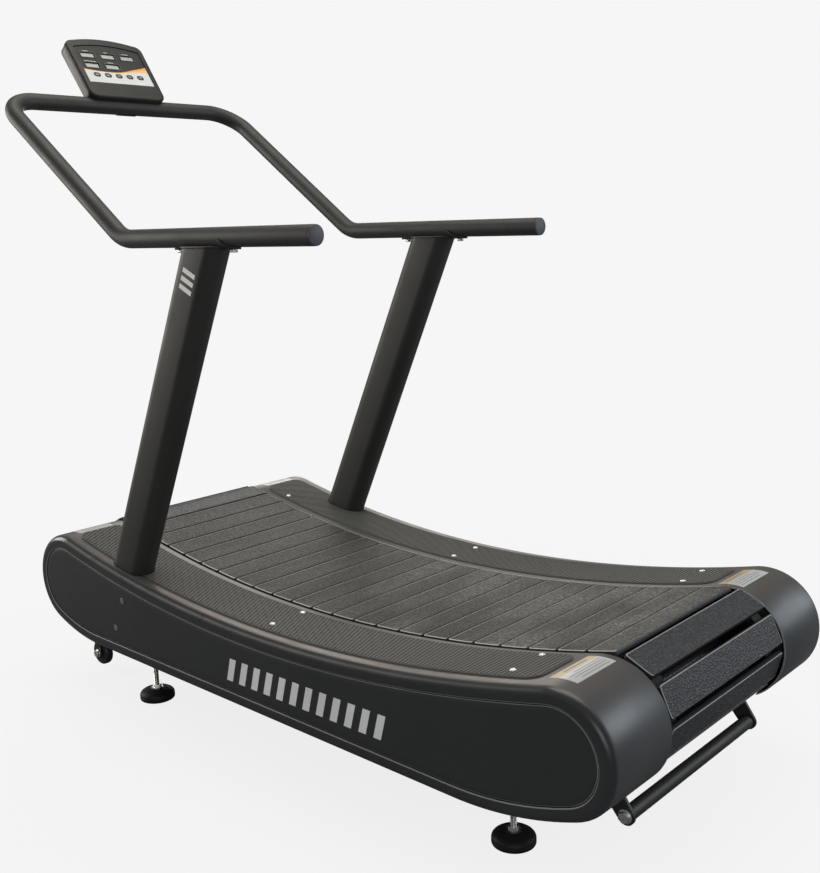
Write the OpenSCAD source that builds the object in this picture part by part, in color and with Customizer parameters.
// Curved manual treadmill: a slat belt on a concave deck, driven by the runner.
// Frame: +X towards the console, +Y to the runner's left, +Z up, floor at Z = 0.
// Modules draw in deck coordinates (X = 0 midway between the drum axles) and on_deck() moves them.

/* [Belt and deck] */
// Distance between two slats along the belt's pitch line, 8 teeth of 8 mm
slat_pitch = 64; // [62:0.5:65]
// Slats on the curved upper run, and as many on the lower run
run_slats = 22; // [22:1:22]
// Slats wrapped round each drum
wrap_slats = 5; // [5:1:5]
// Radius of the concave running surface
deck_r = 2997.5; // [2900:0.5:3200]
// Height of the running surface at its lowest point
deck_low_z = 297.5; // [290:0.5:320]
// Distance of each drum axle from the middle of the deck
axle_x = 718.84; // [714:0.01:722]
// Distance the belt is advanced towards the rear at rest
belt_advance = 30; // [0:1:32]
// Height of a slat's top above the pitch line
slat_top = 15.3; // [15:0.1:16]
// Half the length of a slat
slat_half = 213; // [205:1:214]
// Width of a slat
slat_w = 59; // [54:0.5:60]
// Thickness of a slat without its rib
slat_t = 12.6; // [11:0.1:12.6]
// Depth of the stiffening rib under a slat
rib_h = 20; // [12:1:22]

/* [Side covers] */
// Inner edge of each side cover, beside the slat ends
cover_in = 219; // [216:0.5:220]
// Outer face of each side cover
cover_out = 396; // [390:1:405]
// Wall thickness of the side covers
cover_wall = 3; // [2:0.5:4]
// Radius of the covers' round ends
cover_end_r = 113; // [112:0.5:118]
// Radius of the rounding between a cover's wrap and its outer face
cover_round = 18; // [14:1:20]
// Width of the border round each side panel
panel_inset = 30; // [26:1:34]
// Height of the covers' underside at the rear
under_rear_z = 116; // [112:1:120]
// Height of the covers' underside at the front
under_front_z = 128; // [124:1:132]

/* [Foot mats] */
// Inner edge of each foot mat
mat_in = 236; // [228:1:240]
// Outer edge of each foot mat
mat_out = 362; // [350:1:366]
// Thickness of the foot mats
mat_t = 4; // [3:0.5:5]
// Front end of the mats
mat_front = 699; // [690:1:702]
// Rear end of the mats
mat_rear = -665; // [-680:1:-650]
// Corner radius of the mats
mat_corner = 28; // [15:1:35]

/* [Uprights and handrail] */
// Half the distance between the uprights, and between the grips
rail_y = 346; // [340:1:350]
// Lean of the uprights towards the rear, in degrees
upright_lean = 25.4; // [24:0.1:27]
// Where an upright's axis meets the floor plane
upright_foot_x = 649; // [640:1:655]
// Depth of the uprights' oval section
upright_depth = 110; // [100:1:112]
// Width of the uprights' oval section
upright_width = 60; // [54:1:62]
// Outside diameter of the handrail tube
rail_d = 40; // [36:1:42]
// Height of the grips' centre line
grip_z = 1085; // [1060:1:1110]
// Rear end of the grips
grip_rear = -177; // [-190:1:-160]
// Corner where the grips turn up
low_corner_x = 429; // [420:1:440]
// Corner where the side tubes meet the front tube
top_corner_x = 893; // [880:1:900]
// Height of the front tube's centre line
top_z = 1418; // [1400:1:1430]
// Bend radius of the lower corners
low_bend_r = 95; // [70:1:110]
// Bend radius of the upper corners
top_bend_r = 85; // [70:1:95]

/* [Console] */
// Lean of the console face from upright, in degrees
face_tilt = 36; // [34:1:38]
// Height of the console face
face_h = 198; // [198:1:198]
// Half the width of the console face
face_half = 113; // [110:1:116]
// Depth of the console's front shell
front_depth = 14; // [14:0.5:14]
// Depth of the whole console
console_depth = 41; // [38:1:44]
// Travel of the console's buttons
button_travel = 1.2; // [0.8:0.1:1.2]

/* [Feet, wheels and rear handle] */
// Radius of the levelling feet's rubber pads
pad_r = 41; // [36:1:42]
// Place of the front feet
front_foot = [487, 311]; // [300:1:700]
// Place of the rear feet
rear_foot = [-552, 279]; // [-700:1:-400]
// Radius of the transport wheels
wheel_r = 32; // [28:1:34]
// Place of the transport wheels
wheel_at = [750, 288, 44]; // [30:1:800]
// Radius of the rear lifting handle
bar_r = 13.5; // [12:0.5:15]
// Place of the rear lifting handle
bar_at = [-755, 104.5]; // [-760:0.5:150]

/* [Hidden] */
$fn = 64;

// Middle of the deck in the part's own frame
deck_x = -91.3;
// Colours
black = [0.10, 0.10, 0.10];
graphite = [0.27, 0.29, 0.31];
dark = [0.15, 0.16, 0.16];
rubber = [0.22, 0.22, 0.21];
steel = [0.75, 0.75, 0.76];

// Belt path
teeth = 8 * (2 * wrap_slats - 1);
pitch_r = teeth * slat_pitch / 8 / (2 * PI);
drum_top_r = pitch_r + slat_top;
arc_z = deck_low_z + deck_r;
axle_z = arc_z - sqrt(pow(deck_r + drum_top_r, 2) - pow(axle_x, 2));
arc_half = asin(axle_x / (deck_r + drum_top_r));
run_r = deck_r + slat_top;
arc_len = 2 * run_r * arc_half * PI / 180;
lower_pitch_z = axle_z - pitch_r;
pulley_y = [170, 204];
belt_y = [172, 202];
belt_out = slat_top - slat_t - 0.1;
belt_in = -1;
lower_belt_gap = 14;
rib_half = 138;
rib_root = 6;
rib_tip = 4;
slat_chamfer = 3;
slat_round = 2;
web_hole_r = 16;
web_hole_at = 54;

// Frame
plate_y = [222, 228];
plate_inset = 10;
shaft_r = 15;
running = 0.05;
bearing_r = 31;
bearing_y = [230, 244];
housing_r = 45;
housing_out = 246;
housing_bore_r = 20;
clutch_r = 38;
clutch_y = [248, 266];
clutch_arm = [74, 8, 20];
clutch_pin_at = 64;
disc_r = 30;
disc_y = [-256, -253];
sensor_at = 66;
sensor_block = 20;
sensor_head = [19, 4, 12];
roller_r = 18;
roller_x = 300;
roller_shaft_r = 8;
roller_z = lower_pitch_z - slat_top - 0.3 - roller_r;
rail_plate_y = [146, 154];
guide_r = 16;
guide_at = deck_r + slat_t + 0.4 + guide_r;
guide_count = 21;
guide_step = 1.14;
beam_angles = [-9.4, -3.2, 3.2, 9.4];
beam_r = deck_r + 50;
beam_h = 40;
beam_w = 60;
beam_wall = 3;
stud_angles = [-10.5, -5, 0, 5, 11.5];
bracket_half = 28;
bracket_t = 8;
bracket_z = 142;
boss_r = 13;
boss_h = 36;
foot_stud_r = 6;

// Covers
end_z = axle_z - 8;
end_dist = sqrt(pow(axle_x, 2) + pow(arc_z - end_z, 2));
top_r = end_dist - cover_end_r;
top_half = atan2(axle_x, arc_z - end_z);
rear_blend_r = 700;
front_blend_r = 450;
round_steps = [[0, 0], [5, 0.9], [10, 3], [14, 6], [17, 11]];
round_y = cover_out - cover_round - 2;
flange_y = [cover_out - 9, cover_out - 5.3];
panel_y = [cover_out - 5, cover_out - 2];

// Uprights and handrail
slope = atan2(top_z - grip_z, top_corner_x - low_corner_x);
low_cut = low_bend_r * tan(slope / 2);
rail_r = rail_d / 2;
rail_bore_r = rail_r - 2.5;
rail_lap = 0.4;
rail_swell = 0.2;
saddle_x = upright_foot_x - grip_z * tan(upright_lean) + 8;
saddle_half = 105;
saddle_t = 4;
saddle_leaf = 34;
saddle_bolt_dx = 84;
bolt_hole_r = 4.2;
upright_base_z = 150;
upright_wall = 3;
upright_top_gap = 17;
upright_gap = 1.5;
socket_wall = 4;
socket_gap = 0.2;
socket_top_z = 285;

// Console
face_at = [865.5, 0, 1438.8];
face_z = -3;
crown_r = 396;
overlay_half = 98;
overlay_y = [47.6, 176];
overlay_t = 0.8;
shell_t = 3;
skin_z = -6;
board_z = [-11, -9.4];
board_size = [176, 100];
board_hole = [80, 64];
clamp_t = 1.6;
clamp_half = 26;
tube_dx = top_corner_x - face_at.x;
tube_dz = top_z - face_at.z;
tube_face_y = tube_dx * sin(face_tilt) + tube_dz * cos(face_tilt);
tube_face_z = tube_dz * sin(face_tilt) - tube_dx * cos(face_tilt);
window_size = [40, 15.5];
window_at = [[-65, 140.2], [-5, 140.2], [54, 140.2], [-65, 106], [-5, 106]];
button_size = [20, 14];
button_pitch = 32.6;
button_at = [for (i = [-2:2]) [i * button_pitch, 75]];
button_z = [-5.4, -1.4];

// Small hardware
screw_at = [[-597, 250], [-597, 334], [19, 250], [19, 334], [618, 250]];
screw_seat = 0.15;
screw_r = 2.5;
screw_head = [6, 2.5];
plug_at = [[476, 268], [511, 195]];
plug_r = 6;
plug_head = [7.5, 1.2];
fork_gap = 11.5;
fork_t = 4;
fork_half = 13;
fork_top = 194;
axle_bolt_r = 5;
arm_y = [228, 235];
arm_top = [-690, 190];
arm_r = [17, 22];
arm_bolt_depth = 20;
pad_h = 12;
pad_cone = [20, 14];
foot_nut = [19, 7];
lock_nut_z = 97;
stud_top = 158;

// ---------------------------------------------------------------- helpers

function arc(c, r, a0, a1, n) = [for (i = [0:n]) let (a = a0 + (a1 - a0) * i / n) c + r * [cos(a), sin(a)]];

// Point at angle a from straight down on a circle round the deck's centre of curvature
function deck_pt(r, a) = [r * sin(a), arc_z - r * cos(a)];

// Centre of a blend circle that touches the underside and holds the end circle
function blend_x(r, z) = axle_x - sqrt(pow(r - cover_end_r, 2) - pow(r - (end_z - z), 2));

// Side outline of the covers, moved inwards by d
function outline(d) =
  let (fx = blend_x(front_blend_r, under_front_z), rx = -blend_x(rear_blend_r, under_rear_z))
  let (fz = under_front_z + front_blend_r, rz = under_rear_z + rear_blend_r)
  let (fa = atan2(end_z - fz, axle_x - fx), ra = atan2(end_z - rz, -axle_x - rx))
  concat(
    [for (i = [0:28]) deck_pt(top_r + d, -top_half + 2 * top_half * i / 28)],
    arc([axle_x, end_z], cover_end_r - d, 90 + top_half - 12, fa + 6, 14),
    arc([fx, fz], front_blend_r - d, fa, -90, 5),
    arc([rx, rz], rear_blend_r - d, -90, ra, 6),
    arc([-axle_x, end_z], cover_end_r - d, ra - 6, -270 - top_half + 12, 14));

// Band between two radii about the deck's centre of curvature
function deck_band(r0, r1, a0, a1, n) = concat(
  [for (i = [0:n]) deck_pt(r0, a0 + (a1 - a0) * i / n)],
  [for (i = [n:-1:0]) deck_pt(r1, a0 + (a1 - a0) * i / n)]);

module on_deck() {
  translate([deck_x, 0, 0]) children();
}

module both_sides() {
  children();
  mirror([0, 1, 0]) children();
}

// Extrudes a side-view shape (X, Z) from y0 to y1
module along_y(y0, y1) {
  translate([0, y1, 0]) rotate([90, 0, 0]) linear_extrude(y1 - y0) children();
}

// Round bar along Y
module bar_y(r, y0, y1, x, z) {
  translate([x, y1, z]) rotate([90, 0, 0]) cylinder(r = r, h = y1 - y0);
}

module hex(af, h) {
  cylinder(r = af / 2 / cos(30), h = h, $fn = 6);
}

module stadium(l, w) {
  translate([l / 2 - w / 2, 0]) circle(d = w);
  translate([w / 2 - l / 2, 0]) circle(d = w);
  square([l - w, w], center = true);
}

// Places children at a distance s along the belt from the middle of the upper run,
// with +Z away from the belt's inner side and the pitch line at Z = 0
module on_path(s) {
  wrap = pitch_r * (180 + arc_half) * PI / 180;
  half = arc_len / 2;
  if (abs(s) <= half) {
    a = s / run_r * 180 / PI;
    p = deck_pt(run_r, a);
    translate([p.x, 0, p.y]) rotate([0, -a, 0]) children();
  } else if (abs(s) <= half + wrap) {
    side = sign(s);
    a = (abs(s) - half) / pitch_r * 180 / PI - arc_half;
    translate([side * axle_x, 0, axle_z]) rotate([0, side * a, 0]) translate([0, 0, pitch_r]) children();
  } else {
    side = sign(s);
    translate([side * (axle_x - abs(s) + half + wrap), 0, lower_pitch_z]) rotate([0, 180, 0]) children();
  }
}

// ---------------------------------------------------------------- slat belt

// The three ways the parts of the belt move when it advances towards the rear
module run_advance() {
  translate([0, 0, arc_z]) rotate([0, belt_advance / run_r * 180 / PI, 0]) translate([0, 0, -arc_z])
    children();
}

module drum_advance(side) {
  translate([side * axle_x, 0, axle_z]) rotate([0, -belt_advance / pitch_r * 180 / PI, 0])
    translate([-side * axle_x, 0, -axle_z]) children();
}

module return_advance() {
  translate([belt_advance, 0, 0]) children();
}

// One slat: chamfered body, side lips and a stiffening rib
module slat() {
  w = slat_w / 2;
  t0 = slat_top - slat_t;
  along_y(-slat_half, slat_half)
    polygon([[-w + slat_chamfer, t0], [w - slat_chamfer, t0], [w, t0 + slat_chamfer + 1],
             [w, slat_top - slat_round], [w - slat_round, slat_top], [slat_round - w, slat_top],
             [-w, slat_top - slat_round], [-w, t0 + slat_chamfer + 1]]);
  along_y(-rib_half, rib_half)
    polygon([[-rib_root, t0], [rib_root, t0], [rib_tip, t0 - rib_h], [-rib_tip, t0 - rib_h]]);
}

// Slats number first to last, counted from the middle of the upper run
module slats(first, last) {
  for (i = [first:last]) on_path((i + 0.5) * slat_pitch) slat();
}

module upper_slats() {
  color([0.24, 0.24, 0.23]) on_deck() run_advance() slats(-run_slats / 2, run_slats / 2 - 1);
}

module front_slats() {
  color([0.25, 0.25, 0.24]) on_deck() drum_advance(1)
    slats(run_slats / 2, run_slats / 2 + wrap_slats - 1);
}

module rear_slats() {
  color([0.25, 0.25, 0.24]) on_deck() drum_advance(-1)
    slats(-run_slats / 2 - wrap_slats, -run_slats / 2 - 1);
}

module lower_slats() {
  color([0.22, 0.22, 0.21]) on_deck() return_advance() {
    slats(run_slats / 2 + wrap_slats, run_slats + wrap_slats - 1);
    slats(-run_slats - wrap_slats, -run_slats / 2 - wrap_slats - 1);
  }
}

module upper_belts() {
  a = arc_half - 0.03;
  color(black) on_deck() run_advance() both_sides() along_y(belt_y[0], belt_y[1])
    polygon(deck_band(run_r - belt_out, run_r - belt_in, -a, a, 44));
}

module drum_belt(side) {
  a_top = 90 + arc_half - 1;
  a_low = -89;
  pts = concat(
    arc([0, 0], pitch_r + belt_out, a_top, a_low, 30),
    arc([0, 0], pitch_r + belt_in, a_low, a_top, 30));
  translate([side * axle_x, 0, axle_z]) both_sides() along_y(belt_y[0], belt_y[1])
    polygon([for (p = pts) [side * p.x, p.y]]);
}

module front_belts() {
  color(black) on_deck() drum_advance(1) drum_belt(1);
}

module rear_belts() {
  color(black) on_deck() drum_advance(-1) drum_belt(-1);
}

module lower_belts() {
  color(black) on_deck() return_advance() both_sides()
    translate([lower_belt_gap - axle_x, belt_y[0], lower_pitch_z - belt_out])
      cube([2 * (axle_x - lower_belt_gap), belt_y[1] - belt_y[0], belt_out - belt_in]);
}

// ---------------------------------------------------------------- drums

module drum_shaft(side, left_end, right_end) {
  bar_y(shaft_r, -right_end, left_end, side * axle_x, axle_z);
}

module pulleys(side) {
  translate([side * axle_x, 0, axle_z]) both_sides() rotate([90, 0, 0])
    translate([0, 0, -pulley_y[1]]) difference() {
      cylinder(r = pitch_r - 1.2, h = pulley_y[1] - pulley_y[0], $fn = 144);
      translate([0, 0, -1]) cylinder(r = shaft_r, h = 40);
      for (i = [0:5]) rotate(i * 60) translate([web_hole_at, 0, -1]) cylinder(r = web_hole_r, h = 40);
    }
}

module front_axle() {
  color(steel) on_deck() drum_shaft(1, 270, 258);
}

module rear_axle() {
  color(steel) on_deck() drum_shaft(-1, 246, 246);
}

module front_pulleys() {
  color(dark) on_deck() drum_advance(1) pulleys(1);
}

module rear_pulleys() {
  color(dark) on_deck() drum_advance(-1) pulleys(-1);
}

module sensor_disc() {
  color(steel) on_deck() difference() {
    bar_y(disc_r, disc_y[0], disc_y[1], axle_x, axle_z);
    bar_y(shaft_r, disc_y[0] - 1, disc_y[1] + 1, axle_x, axle_z);
  }
}

module lower_roller(x) {
  bar_y(roller_r, -208, 208, x, roller_z);
  bar_y(roller_shaft_r, -plate_y[1] - 2, plate_y[1] + 2, x, roller_z);
}

module lower_roller_front() {
  color(dark) on_deck() lower_roller(roller_x);
}

module lower_roller_rear() {
  color(dark) on_deck() lower_roller(-roller_x);
}

// ---------------------------------------------------------------- frame

// Bracket that carries a levelling foot's threaded boss
module foot_bracket(at) {
  difference() {
    union() {
      translate([at.x - bracket_half, plate_y[1], bracket_z])
        cube([2 * bracket_half, at.y + bracket_half - plate_y[1], bracket_t]);
      translate([at.x, at.y, bracket_z - boss_h]) cylinder(r = boss_r, h = boss_h);
    }
    translate([at.x, at.y, bracket_z - boss_h - 6]) cylinder(r = foot_stud_r + running, h = 60);
  }
}

// Stand-off that carries the cover's inner flange
module cover_stud(a, r) {
  p = deck_pt(r, a);
  bar_y(7, plate_y[1], flange_y[0], p.x, p.y);
}

module frame_plate() {
  difference() {
    along_y(plate_y[0], plate_y[1]) polygon(outline(plate_inset));
    for (side = [-1, 1]) {
      bar_y(housing_bore_r, plate_y[0] - 1, plate_y[1] + 1, side * axle_x, axle_z);
      bar_y(roller_shaft_r + running, plate_y[0] - 1, plate_y[1] + 1, side * roller_x, roller_z);
    }
  }
  foot_bracket(front_foot);
  foot_bracket(rear_foot);
  for (a = stud_angles) cover_stud(a, top_r + 26);
}

module left_frame_plate() {
  color(black) on_deck() frame_plate();
}

module right_frame_plate() {
  color(black) on_deck() mirror([0, 1, 0]) frame_plate();
}

// Box-section beams across the frame, square to the deck's curve
module cross_members() {
  color(black) on_deck() for (a = beam_angles)
    translate([0, 0, arc_z]) rotate([0, -a, 0]) translate([-beam_w / 2, -plate_y[0], -beam_r - beam_h])
      difference() {
        cube([beam_w, 2 * plate_y[0], beam_h]);
        translate([beam_wall, -1, beam_wall])
          cube([beam_w - 2 * beam_wall, 2 * plate_y[0] + 2, beam_h - 2 * beam_wall]);
      }
}

// Curved rails that carry the guide bearings
module guide_rails() {
  color(black) on_deck() both_sides() along_y(rail_plate_y[0], rail_plate_y[1])
    polygon(deck_band(deck_r + 18, beam_r - 0.3, -12.2, 12.2, 40));
}

module guide_bearings() {
  first = -(guide_count - 1) / 2;
  color(steel) on_deck() both_sides() for (i = [first:-first]) {
    p = deck_pt(guide_at, i * guide_step);
    bar_y(guide_r, rail_plate_y[1] + 1, rail_plate_y[1] + 9, p.x, p.y);
    bar_y(8, rail_plate_y[1], rail_plate_y[1] + 1, p.x, p.y);
  }
}

module bearing_housings() {
  color(graphite) on_deck() both_sides() for (side = [-1, 1]) difference() {
    bar_y(housing_r, plate_y[1], housing_out, side * axle_x, axle_z);
    bar_y(housing_bore_r, plate_y[1] - 1, bearing_y[0] + 1, side * axle_x, axle_z);
    bar_y(bearing_r, bearing_y[0], housing_out + 1, side * axle_x, axle_z);
  }
}

module drum_bearings() {
  color(steel) on_deck() both_sides() for (side = [-1, 1]) difference() {
    bar_y(bearing_r, bearing_y[0], bearing_y[1], side * axle_x, axle_z);
    bar_y(shaft_r + running, bearing_y[0] - 1, bearing_y[1] + 1, side * axle_x, axle_z);
  }
}

// Sprag clutch on the front axle, held from turning by an arm to the frame
module one_way_clutch() {
  color(graphite) on_deck() {
    difference() {
      union() {
        bar_y(clutch_r, clutch_y[0], clutch_y[1], axle_x, axle_z);
        translate([axle_x - clutch_arm.x, clutch_y[0], axle_z - clutch_arm.z / 2]) cube(clutch_arm);
      }
      bar_y(shaft_r + running, clutch_y[0] - 1, clutch_y[1] + 1, axle_x, axle_z);
    }
    bar_y(8, plate_y[1], clutch_y[0], axle_x - clutch_pin_at, axle_z);
  }
}

// Pick-up that reads the slotted disc on the front axle
module speed_sensor() {
  reach = 6 - disc_y[0];
  color(dark) on_deck() translate([axle_x - sensor_at, -reach, axle_z - sensor_block / 2]) {
    cube([sensor_block, reach - plate_y[1], sensor_block]);
    translate([sensor_block - 4, 0, 4]) cube(sensor_head);
  }
}

// ---------------------------------------------------------------- covers and mats

module ring2d(d0, d1) {
  difference() {
    polygon(outline(d0));
    polygon(outline(d1));
  }
}

module upright_space(clear, z0, z1) {
  upright_body(upright_depth + 2 * clear, upright_width + 2 * clear, z0, z1);
}

module at_screws() {
  for (at = screw_at) {
    a = asin(at.x / top_r);
    p = deck_pt(top_r - mat_t, a);
    translate([p.x, at.y, p.y]) rotate([0, -a, 0]) children();
  }
}

module cover() {
  difference() {
    union() {
      along_y(cover_in, round_y) ring2d(0, cover_wall);
      for (i = [0:4]) {
        y0 = round_y + round_steps[i][0];
        y1 = i < 4 ? round_y + round_steps[i + 1][0] : cover_out;
        inner = i < 4 ? round_steps[i + 1][1] + cover_wall : panel_inset;
        along_y(y0, y1) ring2d(round_steps[i][1], inner);
      }
      along_y(flange_y[0], flange_y[1]) ring2d(7, panel_inset + 14);
    }
    upright_space(upright_gap, 250, 420);
    for (at = [front_foot, rear_foot]) translate([at.x, at.y, 90]) cylinder(r = boss_r + 1, h = 60);
    at_screws() translate([0, 0, -20]) cylinder(r = screw_r, h = 22, $fn = 24);
    // Slots for the wheel fork and the rear handle's arm
    translate([wheel_at.x - 16, wheel_at.y - 17, 100]) cube([40, 34, 90]);
    translate([-775, cover_in - 1, 100]) cube([95, 22, 82]);
  }
}

module left_cover() {
  color(graphite) on_deck() cover();
}

module right_cover() {
  color(graphite) on_deck() mirror([0, 1, 0]) cover();
}

module side_panel() {
  along_y(panel_y[0], panel_y[1]) difference() {
    polygon(outline(panel_inset + 0.6));
    for (p = plug_at) translate(p) circle(r = plug_r);
  }
}

module left_side_panel() {
  color(dark) on_deck() side_panel();
}

module right_side_panel() {
  color(dark) on_deck() mirror([0, 1, 0]) side_panel();
}

// Caps over the panel's fixing screws
module panel_plugs() {
  color([0.45, 0.46, 0.47]) on_deck() both_sides() for (p = plug_at) {
    bar_y(plug_r - 0.1, panel_y[0], panel_y[1], p.x, p.y);
    bar_y(plug_head[0], panel_y[1], panel_y[1] + plug_head[1], p.x, p.y);
  }
}

// Plan outline of a mat, a rounded rectangle
module mat_plan() {
  c = mat_corner;
  polygon(concat(
    arc([mat_front - c, mat_out - c], c, 90, 0, 6),
    arc([mat_front - c, mat_in + c], c, 0, -90, 6),
    arc([mat_rear + c, mat_in + c], c, -90, -180, 6),
    arc([mat_rear + c, mat_out - c], c, 180, 90, 6)));
}

module foot_mat() {
  difference() {
    intersection() {
      along_y(mat_in - 1, mat_out + 1)
        polygon(deck_band(top_r - mat_t, top_r - 0.2, -12.95, 13.42, 40));
      translate([0, 0, 200]) linear_extrude(300) mat_plan();
    }
    upright_space(upright_gap, 250, 420);
    at_screws() translate([0, 0, -10]) cylinder(r = screw_r, h = 12, $fn = 24);
  }
}

module left_foot_mat() {
  color(rubber) on_deck() foot_mat();
}

module right_foot_mat() {
  color(rubber) on_deck() mirror([0, 1, 0]) foot_mat();
}

module mat_screws() {
  color(steel) on_deck() both_sides() at_screws() {
    translate([0, 0, screw_seat]) cylinder(r = screw_head[0], h = screw_head[1], $fn = 32);
    translate([0, 0, -12]) cylinder(r = screw_r - 0.1, h = 12 + screw_seat, $fn = 24);
  }
}

// ---------------------------------------------------------------- uprights and handrail

// Oval bar along an upright's axis, between two heights
module upright_body(l, w, z0, z1) {
  x0 = upright_foot_x - z0 * tan(upright_lean);
  translate([x0, rail_y, z0]) rotate([0, -upright_lean, 0])
    linear_extrude((z1 - z0) / cos(upright_lean)) stadium(l, w);
}

// Leaf-shaped saddle under the grip
module saddle() {
  leaf = [for (i = [-12:12]) let (t = i / 12) [saddle_half * t, saddle_leaf * (1 - t * t) + 1.5]];
  intersection() {
    difference() {
      translate([saddle_x - saddle_half, rail_y, grip_z]) rotate([0, 90, 0])
        cylinder(r = rail_r + saddle_t, h = 2 * saddle_half);
      translate([saddle_x - saddle_half - 1, rail_y, grip_z]) rotate([0, 90, 0])
        cylinder(r = rail_r, h = 2 * saddle_half + 2);
      at_saddle_bolts() translate([0, 0, -1]) cylinder(r = bolt_hole_r, h = 20, $fn = 24);
    }
    translate([saddle_x, rail_y, grip_z - 40]) linear_extrude(36)
      polygon(concat(leaf, [for (i = [24:-1:0]) [leaf[i].x, -leaf[i].y]]));
  }
}

module at_saddle_bolts() {
  for (s = [-1, 1]) translate([saddle_x + s * saddle_bolt_dx, rail_y, grip_z - rail_r - saddle_t])
    children();
}

module upright() {
  bore = 2 * upright_wall;
  difference() {
    upright_body(upright_depth, upright_width, upright_base_z, grip_z + 30);
    upright_body(upright_depth - bore, upright_width - bore, upright_base_z - 20, grip_z + 40);
    translate([saddle_x - 200, rail_y, grip_z]) rotate([0, 90, 0])
      cylinder(r = rail_r + saddle_t, h = 400);
    translate([saddle_x - 200, rail_y - 60, grip_z - upright_top_gap]) cube([400, 120, 120]);
    translate([upright_foot_x - 200, rail_y - 60, upright_base_z - 60]) cube([300, 120, 60]);
  }
  saddle();
}

module left_upright() {
  color(black) on_deck() upright();
}

module right_upright() {
  color(black) on_deck() mirror([0, 1, 0]) upright();
}

// Sleeves inside the covers that hold the uprights and bolt to the frame plates
module upright_sockets() {
  wall = 2 * socket_wall;
  clear = 2 * socket_gap;
  rib = 100;
  color(graphite) on_deck() both_sides() difference() {
    union() {
      upright_body(upright_depth + wall, upright_width + wall, upright_base_z + 8, socket_top_z);
      translate([525, plate_y[1], 168]) cube([70, rib, bracket_t]);
      translate([500, plate_y[1], 250]) cube([50, rib, bracket_t]);
      translate([470, plate_y[1], 160]) cube([150, bracket_t, 110]);
    }
    upright_body(upright_depth + clear, upright_width + clear, 120, 330);
    translate([400, plate_y[1] - 1, 100]) cube([300, 200, upright_base_z - 92]);
  }
}

module rod_bend(bend_r, angle, r) {
  rotate_extrude(angle = angle, $fn = 96) translate([bend_r, 0]) circle(r = r + rail_swell, $fn = 48);
}

// Straight rod along X, let into the bends at its ends
module rod_x(r, l) {
  translate([-rail_lap, 0, 0]) rotate([0, 90, 0]) cylinder(r = r, h = l + 2 * rail_lap, $fn = 48);
}

// Left half of the rail's centre line, swept with radius r and longer by extra at the grip's end
module rail_half(r, extra) {
  start = low_corner_x - low_cut;
  end = grip_rear + 4 + rail_lap - extra;
  u = [cos(slope), 0, sin(slope)];
  p1 = [low_corner_x, rail_y, grip_z] + low_cut * u;
  p2 = [top_corner_x, rail_y, top_z] - top_bend_r * u;
  translate([end, rail_y, grip_z]) rod_x(r, start - end);
  translate([start, rail_y, grip_z + low_bend_r]) rotate([90, 90, 0]) rod_bend(low_bend_r, slope, r);
  translate(p1) rotate([0, -slope, 0]) rod_x(r, norm(p2 - p1));
  translate([p2.x, rail_y - top_bend_r, p2.z]) rotate([0, -slope, 0]) rotate([180, 0, 90])
    rod_bend(top_bend_r, 90, r);
}

module rail_rod(r, extra) {
  both_sides() rail_half(r, extra);
  translate([top_corner_x, top_bend_r - rail_y, top_z]) rotate([0, 0, 90])
    rod_x(r, 2 * (rail_y - top_bend_r));
}

module handrail() {
  color(black) on_deck() difference() {
    rail_rod(rail_r, 0);
    rail_rod(rail_bore_r, 1);
    both_sides() at_saddle_bolts() translate([0, 0, 1]) cylinder(r = bolt_hole_r, h = 20, $fn = 24);
  }
}

module handrail_end_caps() {
  color([0.2, 0.2, 0.22]) on_deck() both_sides() translate([grip_rear, rail_y, grip_z]) rotate([0, 90, 0]) {
    cylinder(r = rail_r - 0.6, h = 4, $fn = 48);
    translate([0, 0, 4]) cylinder(r = rail_bore_r, h = 14, $fn = 48);
  }
}

module saddle_bolts() {
  color(steel) on_deck() both_sides() at_saddle_bolts() {
    translate([0, 0, -6]) hex(13, 6);
    cylinder(r = 4, h = 14, $fn = 24);
  }
}

// ---------------------------------------------------------------- console

// Local frame: X to the runner's right, Y up the face, Z out of the face
module on_face() {
  translate(face_at) rotate([0, face_tilt, 0]) rotate([90, 0, -90]) children();
}

// Rounded face with an arched top edge, moved inwards by d
module face_shape(d) {
  w = face_half - d;
  polygon(concat(
    arc([-w + 22, 22], 22 - d, 180, 270, 6),
    arc([w - 22, 22], 22 - d, 270, 360, 6),
    arc([w - 18, face_h - 32], 20 - d / 2, 0, 76, 6),
    arc([0, face_h - crown_r], crown_r - d, 90 - 13, 90 + 13, 12),
    arc([-w + 18, face_h - 32], 20 - d / 2, 104, 180, 6)));
}

module slab(z0, z1) {
  translate([0, 0, z0]) linear_extrude(z1 - z0) children();
}

module window_shape(grow) {
  for (p = window_at) translate(p) square([window_size.x + grow, window_size.y + grow], center = true);
}

module button_shape(i, grow) {
  translate(button_at[i]) stadium(button_size.x + 2 * grow, button_size.y + 2 * grow);
}

// Recess that holds the printed overlay
module overlay_shape(d) {
  w = overlay_half - d;
  polygon(concat([[-w, overlay_y[0] + d], [w, overlay_y[0] + d]],
    arc([0, overlay_y[1] - crown_r], crown_r - d, 90 - 13.6, 90 + 13.6, 10)));
}

// Rod along the handrail's front tube
module tube_rod(r, half) {
  translate([-half, tube_face_y, tube_face_z]) rotate([0, 90, 0]) cylinder(r = r, h = 2 * half, $fn = 64);
}

module console_front_shell() {
  color([0.23, 0.23, 0.22]) on_deck() on_face() difference() {
    slab(-front_depth, 0) face_shape(0);
    slab(-front_depth - 1, skin_z) face_shape(shell_t);
    slab(face_z, 1) overlay_shape(0);
    slab(skin_z - 1, 1) window_shape(1);
    for (i = [0:4]) slab(skin_z - 1, 1) button_shape(i, 0.3);
    tube_rod(rail_r + 0.3, 200);
  }
}

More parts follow.
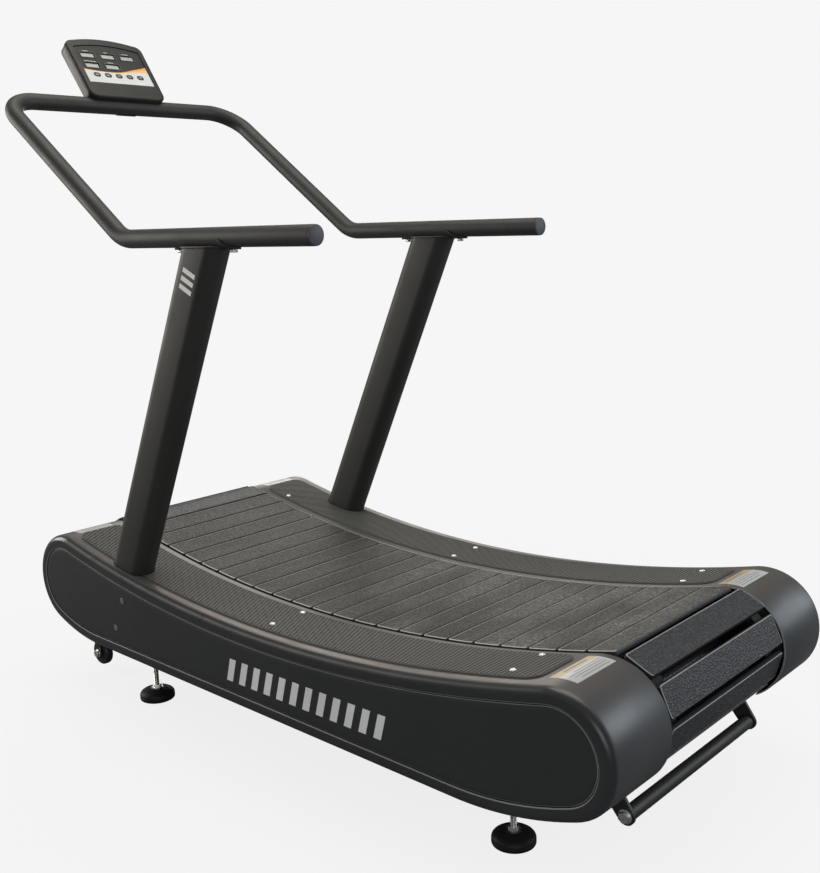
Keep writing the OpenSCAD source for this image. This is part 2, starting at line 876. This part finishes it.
module console_rear_shell() {
  color([0.2, 0.2, 0.2]) on_deck() on_face() difference() {
    slab(-console_depth, -front_depth) face_shape(1);
    slab(shell_t - console_depth, 1 - front_depth) face_shape(1 + shell_t);
    tube_rod(rail_r + 0.3, 200);
  }
}

module console_overlay() {
  color([0.85, 0.85, 0.84]) on_deck() on_face() difference() {
    slab(face_z, face_z + overlay_t) overlay_shape(0.3);
    slab(face_z - 1, 0) window_shape(0);
    for (i = [0:4]) slab(face_z - 1, 0) button_shape(i, 0.3);
  }
}

module display_windows() {
  color([0.62, 0.67, 0.62]) on_deck() on_face() slab(-5.8, -4.2) window_shape(0.8);
}

module console_board() {
  color([0.1, 0.35, 0.2]) on_deck() on_face() difference() {
    slab(board_z[0], board_z[1]) translate([-board_size.x / 2, 60]) square(board_size);
    for (side = [-1, 1]) slab(board_z[0] - 1, board_z[1] + 1)
      translate([side * board_hole.x, board_hole.y]) circle(r = 2);
  }
}

// Thin strap round the tube with an ear on the rear shell
module console_clamp() {
  color(black) on_deck() on_face() {
    difference() {
      union() {
        tube_rod(rail_r + clamp_t, clamp_half);
        translate([-clamp_half, tube_face_y + rail_r - 2, -console_depth - shell_t])
          cube([2 * clamp_half, 34, shell_t]);
      }
      tube_rod(rail_r, clamp_half + 1);
      translate([-clamp_half - 10, tube_face_y - 60, -console_depth]) cube([2 * clamp_half + 20, 200, 80]);
    }
  }
}

module console_button(i) {
  color(black) on_deck() on_face() slab(button_z[0], button_z[1]) button_shape(i, 0);
}

module button_1() {
  console_button(0);
}

module button_2() {
  console_button(1);
}

module button_3() {
  console_button(2);
}

module button_4() {
  console_button(3);
}

module button_5() {
  console_button(4);
}

// ---------------------------------------------------------------- rear handle, wheels and feet

module rear_handle_bar() {
  color(black) on_deck() difference() {
    bar_y(bar_r, -arm_y[0], arm_y[0], bar_at.x, bar_at.y);
    both_sides() bar_y(axle_bolt_r, arm_y[0] - arm_bolt_depth - 2, arm_y[0] + 1, bar_at.x, bar_at.y);
  }
}

// Flat arms from the frame plates down to the bar
module rear_handle_arms() {
  color(black) on_deck() both_sides() difference() {
    along_y(arm_y[0], arm_y[1]) hull() {
      translate(bar_at) circle(r = arm_r[0], $fn = 32);
      translate(arm_top) circle(r = arm_r[1], $fn = 32);
    }
    bar_y(axle_bolt_r, arm_y[0] - 1, arm_y[1] + 1, bar_at.x, bar_at.y);
  }
}

module rear_handle_bolts() {
  color(steel) on_deck() both_sides() {
    bar_y(axle_bolt_r, arm_y[0] - arm_bolt_depth, arm_y[1], bar_at.x, bar_at.y);
    translate([bar_at.x, arm_y[1], bar_at.y]) rotate([-90, 0, 0]) {
      cylinder(r = 13, h = 1.5);
      translate([0, 0, 1.5]) hex(19, 7);
    }
  }
}

module wheel_brackets() {
  x = wheel_at.x;
  y = wheel_at.y;
  z = wheel_at.z;
  color(black) on_deck() both_sides() difference() {
    union() {
      for (s = [-1, 1]) translate([0, y + s * (fork_gap + fork_t / 2) - fork_t / 2, 0]) along_y(0, fork_t) {
        translate([x, z]) circle(r = fork_half);
        translate([x - fork_half, z]) square([2 * fork_half, fork_top - z]);
      }
      translate([x - fork_half, plate_y[1], fork_top])
        cube([2 * fork_half, y + fork_gap + fork_t - plate_y[1], 6]);
    }
    bar_y(axle_bolt_r, y - 30, y + 30, x, z);
  }
}

module wheel_axles() {
  y = wheel_at.y;
  e = fork_gap + fork_t;
  color(steel) on_deck() both_sides() translate([wheel_at.x, y, wheel_at.z]) rotate([-90, 0, 0]) {
    translate([0, 0, -e]) cylinder(r = axle_bolt_r, h = 2 * e + 2);
    translate([0, 0, e]) hex(17, 7);
    translate([0, 0, -e - 7]) hex(17, 7);
  }
}

module wheel() {
  difference() {
    bar_y(wheel_r, wheel_at.y - fork_gap + 1, wheel_at.y + fork_gap - 1, wheel_at.x, wheel_at.z);
    bar_y(axle_bolt_r + running, wheel_at.y - 20, wheel_at.y + 20, wheel_at.x, wheel_at.z);
  }
}

module left_wheel() {
  color(black) on_deck() wheel();
}

module right_wheel() {
  color(black) on_deck() mirror([0, 1, 0]) wheel();
}

// Rubber pad on a threaded stud with its lock nut
module foot(at) {
  translate([at.x, at.y, 0]) {
    cylinder(r = pad_r, h = pad_h);
    translate([0, 0, pad_h]) rotate_extrude($fn = 64)
      polygon([[0, 0], [pad_r, 0], [pad_r - 5, 5], pad_cone, [0, pad_cone.y]]);
    translate([0, 0, pad_h + pad_cone.y]) hex(foot_nut[0], foot_nut[1]);
    cylinder(r = foot_stud_r, h = stud_top);
    translate([0, 0, lock_nut_z]) hex(foot_nut[0], 8.7);
  }
}

module front_left_foot() {
  color(black) on_deck() foot(front_foot);
}

module front_right_foot() {
  color(black) on_deck() mirror([0, 1, 0]) foot(front_foot);
}

module rear_left_foot() {
  color(black) on_deck() foot(rear_foot);
}

module rear_right_foot() {
  color(black) on_deck() mirror([0, 1, 0]) foot(rear_foot);
}

// ---------------------------------------------------------------- nodes

left_frame_plate();
right_frame_plate();
cross_members();
guide_rails();
guide_bearings();
bearing_housings();
drum_bearings();
one_way_clutch();
speed_sensor();
left_cover();
right_cover();
left_side_panel();
right_side_panel();
panel_plugs();
left_foot_mat();
right_foot_mat();
mat_screws();
left_upright();
right_upright();
upright_sockets();
handrail();
handrail_end_caps();
saddle_bolts();
console_front_shell();
console_rear_shell();
console_overlay();
display_windows();
console_board();
console_clamp();
rear_handle_bar();
rear_handle_arms();
rear_handle_bolts();
wheel_brackets();
wheel_axles();
upper_slats();
upper_belts();
front_slats();
front_belts();
front_axle();
front_pulleys();
sensor_disc();
rear_slats();
rear_belts();
rear_axle();
rear_pulleys();
lower_slats();
lower_belts();
lower_roller_front();
lower_roller_rear();
button_1();
button_2();
button_3();
button_4();
button_5();
left_wheel();
right_wheel();
front_left_foot();
front_right_foot();
rear_left_foot();
rear_right_foot();
